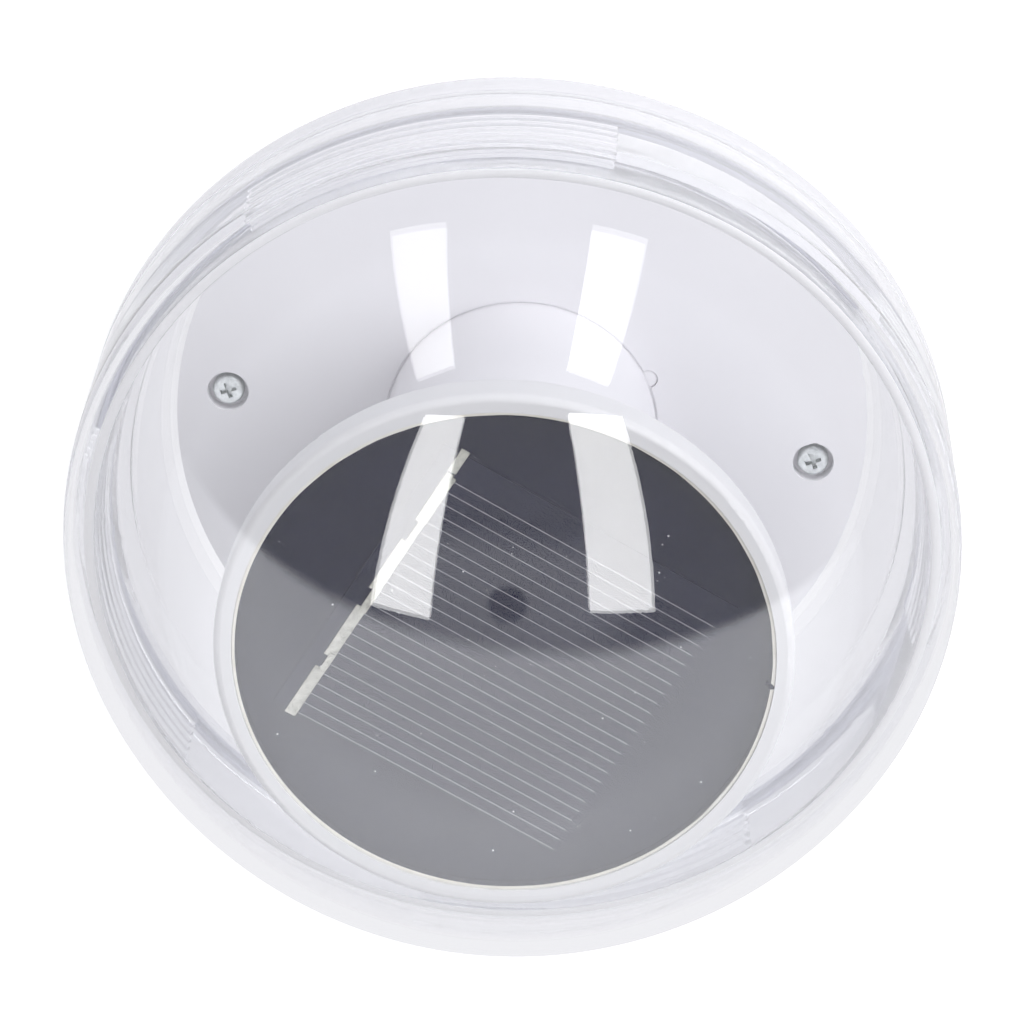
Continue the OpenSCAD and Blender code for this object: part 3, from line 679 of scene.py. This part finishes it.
lamp_places = [(-14, 20), (0, 23), (14, 20), (-14, -20), (0, -23), (14, -20)]
lamp_r = 2.5
collar_r = 2.9
cup_x = -0.35               # the reflector cup stands beside the lamp's axis
pin_x = 1.27
lens_parts, frame_parts, dot_parts = [], [], []
for x, y in lamp_places:
    z = board_z
    outline = [(0, z - 8.6)]
    for t in (8, 20, 33, 46, 59, 72, 84):
        outline.append((lamp_r * math.sin(math.radians(t)),
                        z - 6.1 - lamp_r * math.cos(math.radians(t))))
    outline += [(lamp_r, z - 6.0), (lamp_r, z - 1.15), (lamp_r + 0.12, z - 1.0),
                (collar_r - 0.05, z - 1.0), (collar_r, z - 0.9), (collar_r, z - 0.12),
                (collar_r - 0.05, z - 0.02), (0, z - 0.02)]
    lens_parts.append(turned(outline, x, y))
    cup = [(0, z - 3.9), (0.35, z - 3.9), (0.75, z - 4.6), (0.95, z - 4.6), (0.95, z - 3.2),
           (0.5, z - 2.9), (0, z - 2.9)]
    frame_parts.append(turned(cup, x + cup_x, y, 24))
    cup_pin = [(x - pin_x, y, z - 0.3), (x - pin_x, y, z - 1.6),
               (x - 0.8, y, z - 2.6), (x + cup_x, y, z - 3.0)]
    bond_pin = [(x + pin_x, y, z - 0.3), (x + pin_x, y, z - 3.4), (x + 1.1, y, z - 4.3)]
    frame_parts += [tube(cup_pin, 0.22, 8), tube(bond_pin, 0.22, 8)]
    dot = [(0, z - 4.5), (0.3, z - 4.5), (0.62, z - 4.35), (0.5, z - 4.12), (0, z - 4.0)]
    dot_parts.append(turned(dot, x + cup_x, y, 20))
lenses = add_piece("lamp_bodies", *merge(lens_parts), "lamp", "base", angle=40)
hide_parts("lamp_lenses")
add_piece("lamp_frames", *merge(frame_parts), "solder", "base", angle=40)
add_piece("lamp_phosphor", *merge(dot_parts), "lamp", "base", angle=40, material=M["phosphor"])

# The winding: turns of round wire, seen as rings on the coil's outside
core_low, core_high = [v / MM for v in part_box("inductor_winding")]
coil = ((core_low.x + core_high.x) / 2, (core_low.y + core_high.y) / 2)
coil_parts = []
turns = 7
wire = (core_high.z - core_low.z) / turns / 2
coil_in, wire_at = 1.7, 2.98 - wire
for k in range(turns):
    low, middle, high = [core_low.z + wire * (2 * k + share) for share in (0.1, 1, 1.9)]
    ring = [(coil_in, low), (wire_at, low)] + arc(wire_at, middle, wire * 0.9, -60, 60, 6)
    ring += [(wire_at, high), (coil_in, high)]
    v, f = lathe(lambda a, ring=ring: ring, even(48), True)
    coil_parts.append(([(x + coil[0], y + coil[1], z) for x, y, z in v], f))
winding = add_piece("copper_winding", *merge(coil_parts), "copper", "base", angle=50)
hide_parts("inductor_winding")

# The battery's negative contact: a leaf and a coil of round wire
spring_low, spring_high = [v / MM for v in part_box("battery_spring")]
battery_z = (spring_low.z + spring_high.z) / 2
spiral = []
for i in range(91):
    t = i / 90
    r, a = 3.4 - t, 2 * math.pi * 2.25 * t
    spiral.append((spring_low.x + 0.52 + 1.85 * t, r * math.sin(a), battery_z + r * math.cos(a)))
leaf = []
for y, z in ((-1, -1), (1, -1), (1, 1), (-1, 1)):
    for x in (spring_low.x + 0.02, spring_low.x + 0.3):
        leaf.append((x, 4.4 * y, battery_z + 4.4 * z))
leaf_faces = [(0, 2, 4, 6), (7, 5, 3, 1)]
leaf_faces += [(2 * i, 2 * i + 1, (2 * i + 3) % 8, (2 * i + 2) % 8) for i in range(4)]
spring_parts = [tube(spiral, 0.29, 12), (leaf, leaf_faces)]
spring = add_piece("contact_spring", *merge(spring_parts), "nickel", "base", angle=40)
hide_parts("battery_spring")

# ---------------------------------------------------------------- floor, light and camera
floor_half, floor_z = 4.0, -0.0004
floor_mesh = bpy.data.meshes.new("floor_sheet")
floor_corners = [(floor_half * x, floor_half * y, floor_z)
                 for x, y in ((-1, -1), (1, -1), (1, 1), (-1, 1))]
floor_mesh.from_pydata(floor_corners, [], [(0, 1, 2, 3)])
floor = bpy.data.objects.new("floor_sheet", floor_mesh)
bpy.context.scene.collection.objects.link(floor)
mat, tree, bsdf, out = new_material("pale_floor")
speck = object_noise(tree, 3.0, 2.0)
pale = ramp(tree, speck, [(0.3, (0.9, 0.9, 0.905)), (0.7, (0.92, 0.92, 0.925))])
tree.links.new(pale, bsdf.inputs["Base Color"])
bsdf.inputs["Roughness"].default_value = 0.7
bsdf.inputs["Specular IOR Level"].default_value = 0.1
bsdf.inputs["Emission Color"].default_value = (1, 1, 1, 1)
bsdf.inputs["Emission Strength"].default_value = 0.42
# Seen through the clear shells or mirrored, the sheet is a calm pale grey
path = tree.nodes.new("ShaderNodeLightPath")
calm = tree.nodes.new("ShaderNodeEmission")
calm.inputs[0].default_value = (0.97, 0.97, 1.0, 1)
calm.inputs[1].default_value = 0.9
mix = tree.nodes.new("ShaderNodeMixShader")
tree.links.new(path.outputs["Is Camera Ray"], mix.inputs[0])
tree.links.new(calm.outputs[0], mix.inputs[1])
tree.links.new(bsdf.outputs[0], mix.inputs[2])
tree.links.new(mix.outputs[0], out.inputs[0])
floor_mesh.materials.append(mat)

centre = Vector((0, 0, 0.05))


def softbox(name, at, aim, width, height, radiance):
    """A flat lamp that faces aim; radiance is how bright its face looks."""
    lamp = bpy.data.lights.new(name, "AREA")
    lamp.shape = "RECTANGLE"
    lamp.size, lamp.size_y = width, height
    lamp.energy = radiance * math.pi * width * height
    obj = bpy.data.objects.new(name, lamp)
    obj.location = at
    way = (Vector(aim) - Vector(at)).normalized()
    obj.rotation_euler = way.to_track_quat("-Z", "Y").to_euler()
    bpy.context.scene.collection.objects.link(obj)
    obj.visible_camera = False
    obj.visible_glossy = False
    obj.visible_transmission = False
    return obj


def glow_sheet(name, corners, radiance):
    """A flat bright sheet that the glossy surfaces mirror; it gives no light to the plastic."""
    mesh = bpy.data.meshes.new(name)
    mesh.from_pydata(corners, [], [(0, 1, 2, 3)])
    sheet_mat = bpy.data.materials.new(name)
    sheet_mat.use_nodes = True
    sheet_tree = sheet_mat.node_tree
    sheet_tree.nodes.clear()
    glow = sheet_tree.nodes.new("ShaderNodeEmission")
    glow.inputs[1].default_value = radiance
    sheet_out = sheet_tree.nodes.new("ShaderNodeOutputMaterial")
    sheet_tree.links.new(glow.outputs[0], sheet_out.inputs[0])
    mesh.materials.append(sheet_mat)
    obj = bpy.data.objects.new(name, mesh)
    bpy.context.scene.collection.objects.link(obj)
    obj.visible_camera = False
    obj.visible_diffuse = False
    obj.visible_shadow = False
    return obj


# Two tall boxes in front and two strips overhead are what the dome mirrors, in metres
box_y, strip_z = -0.45, 0.69
box_glow, strip_glow = 3.1, 7.2
box_left = [(0.164, 0.031), (0.27, 0.016), (0.282, 0.405), (0.177, 0.365)]
box_right = [(-0.061, 0.029), (-0.151, 0.022), (-0.162, 0.37), (-0.063, 0.35)]
strip_left = [(0.233, -0.605), (0.389, -0.605), (0.372, 0.07), (0.191, 0.06)]
strip_right = [(-0.134, -0.68), (-0.361, -0.72), (-0.417, -0.005), (-0.211, -0.01)]
glow_sheet("front_box_left", [(x, box_y, z) for x, z in box_left], box_glow)
glow_sheet("front_box_right", [(x, box_y, z) for x, z in box_right], box_glow)
glow_sheet("top_strip_left", [(x, y, strip_z) for x, y in strip_left], strip_glow)
glow_sheet("top_strip_right", [(x, y, strip_z) for x, y in strip_right], strip_glow)
# These light the plastic and aren't mirrored
softbox("key", (-0.75, -0.45, 0.65), centre, 0.8, 0.8, 3.5)
softbox("fill", (0.3, -0.2, 0.9), centre, 0.7, 0.7, 0.3)
softbox("front_fill", (0.05, -0.75, 0.2), centre, 0.9, 0.5, 1.8)

world = bpy.data.worlds.new("studio")
bpy.context.scene.world = world
world.use_nodes = True
tree = world.node_tree
tree.nodes.clear()
out = tree.nodes.new("ShaderNodeOutputWorld")


def math_node(operation, a, b=None, c=None):
    node = tree.nodes.new("ShaderNodeMath")
    node.operation = operation
    for socket, value in zip(node.inputs, (a, b, c)):
        if isinstance(value, (int, float)):
            socket.default_value = value
        elif value is not None:
            tree.links.new(value, socket)
    return node.outputs[0]


def background(colour, strength):
    node = tree.nodes.new("ShaderNodeBackground")
    node.inputs[0].default_value = (*colour, 1)
    if isinstance(strength, (int, float)):
        node.inputs[1].default_value = strength
    else:
        tree.links.new(strength, node.inputs[1])
    return node.outputs[0]


coord = tree.nodes.new("ShaderNodeTexCoord")
split = tree.nodes.new("ShaderNodeSeparateXYZ")
tree.links.new(coord.outputs["Generated"], split.inputs[0])
_, dy, dz = split.outputs
height = math_node("MAXIMUM", dz, 0.02)
back = math_node("DIVIDE", dy, height)
# A pale sweep behind and above, a dark room in front, a paler patch overhead with a dark round hole
sweep = map_range(tree, back, 0.16, 0.24, 0.0, 1.0)
fade = map_range(tree, dz, 0.05, 0.45, 1.2, 2.1)
patch = math_node("MULTIPLY", map_range(tree, back, -0.34, -0.2, 0.0, 1.0),
                  map_range(tree, dz, 0.86, 0.95, 0.0, 1.0))
hole = map_range(tree, dz, 0.9962, 0.9975, 1.0, 0.0)
low = map_range(tree, dz, 0.05, 0.5, 1.0, 0.12)
dark = math_node("ADD", low, math_node("MULTIPLY", patch, 0.55))
dark = math_node("MULTIPLY", dark, hole)
bright = math_node("MULTIPLY", sweep, fade)
room = math_node("ADD", math_node("MULTIPLY", dark, math_node("SUBTRACT", 1.0, sweep)), bright)
path = tree.nodes.new("ShaderNodeLightPath")
shader = background((0.985, 0.98, 0.99), 0.6)
mirrored = background((0.96, 0.97, 1.0), room)
plain = background((1, 1, 1), 1.0)
for ray, other in (("Is Glossy Ray", mirrored), ("Is Transmission Ray", mirrored),
                   ("Is Camera Ray", plain)):
    mix = tree.nodes.new("ShaderNodeMixShader")
    tree.links.new(path.outputs[ray], mix.inputs[0])
    tree.links.new(shader, mix.inputs[1])
    tree.links.new(other, mix.inputs[2])
    shader = mix.outputs[0]
tree.links.new(shader, out.inputs[0])

scene = bpy.context.scene
scene.view_settings.view_transform = "Standard"
scene.view_settings.look = "None"
scene.cycles.max_bounces = 64
scene.cycles.transmission_bounces = 64
scene.cycles.glossy_bounces = 12
scene.cycles.transparent_max_bounces = 24

# The camera of the photo, as angles, and distances in shares of the rim's radius
azimuth, elevation, roll = math.radians(2.75), math.radians(63.07), math.radians(184.45)
R = rim_r * MM
away = 9.0
aside, aloft = -0.011, -0.065
back_way = Vector((math.sin(azimuth) * math.cos(elevation),
                   -math.cos(azimuth) * math.cos(elevation),
                   math.sin(elevation)))
right0 = Vector((math.cos(azimuth), math.sin(azimuth), 0))
up0 = back_way.cross(right0)
right = math.cos(roll) * right0 + math.sin(roll) * up0
up = -math.sin(roll) * right0 + math.cos(roll) * up0
place = Vector((0, 0, rim_z * MM)) + R * (aside * right + aloft * up + away * back_way)
camera_data = bpy.data.cameras.new("photo_camera")
camera_data.sensor_width = 36.0
camera_data.lens = 3897 / 1024 * 36.0
camera_data.clip_start = 0.01
camera = bpy.data.objects.new("photo_camera", camera_data)
camera.matrix_world = Matrix((
    (right.x, up.x, back_way.x, place.x),
    (right.y, up.y, back_way.y, place.y),
    (right.z, up.z, back_way.z, place.z),
    (0, 0, 0, 1)))
scene.collection.objects.link(camera)
scene.camera = camera
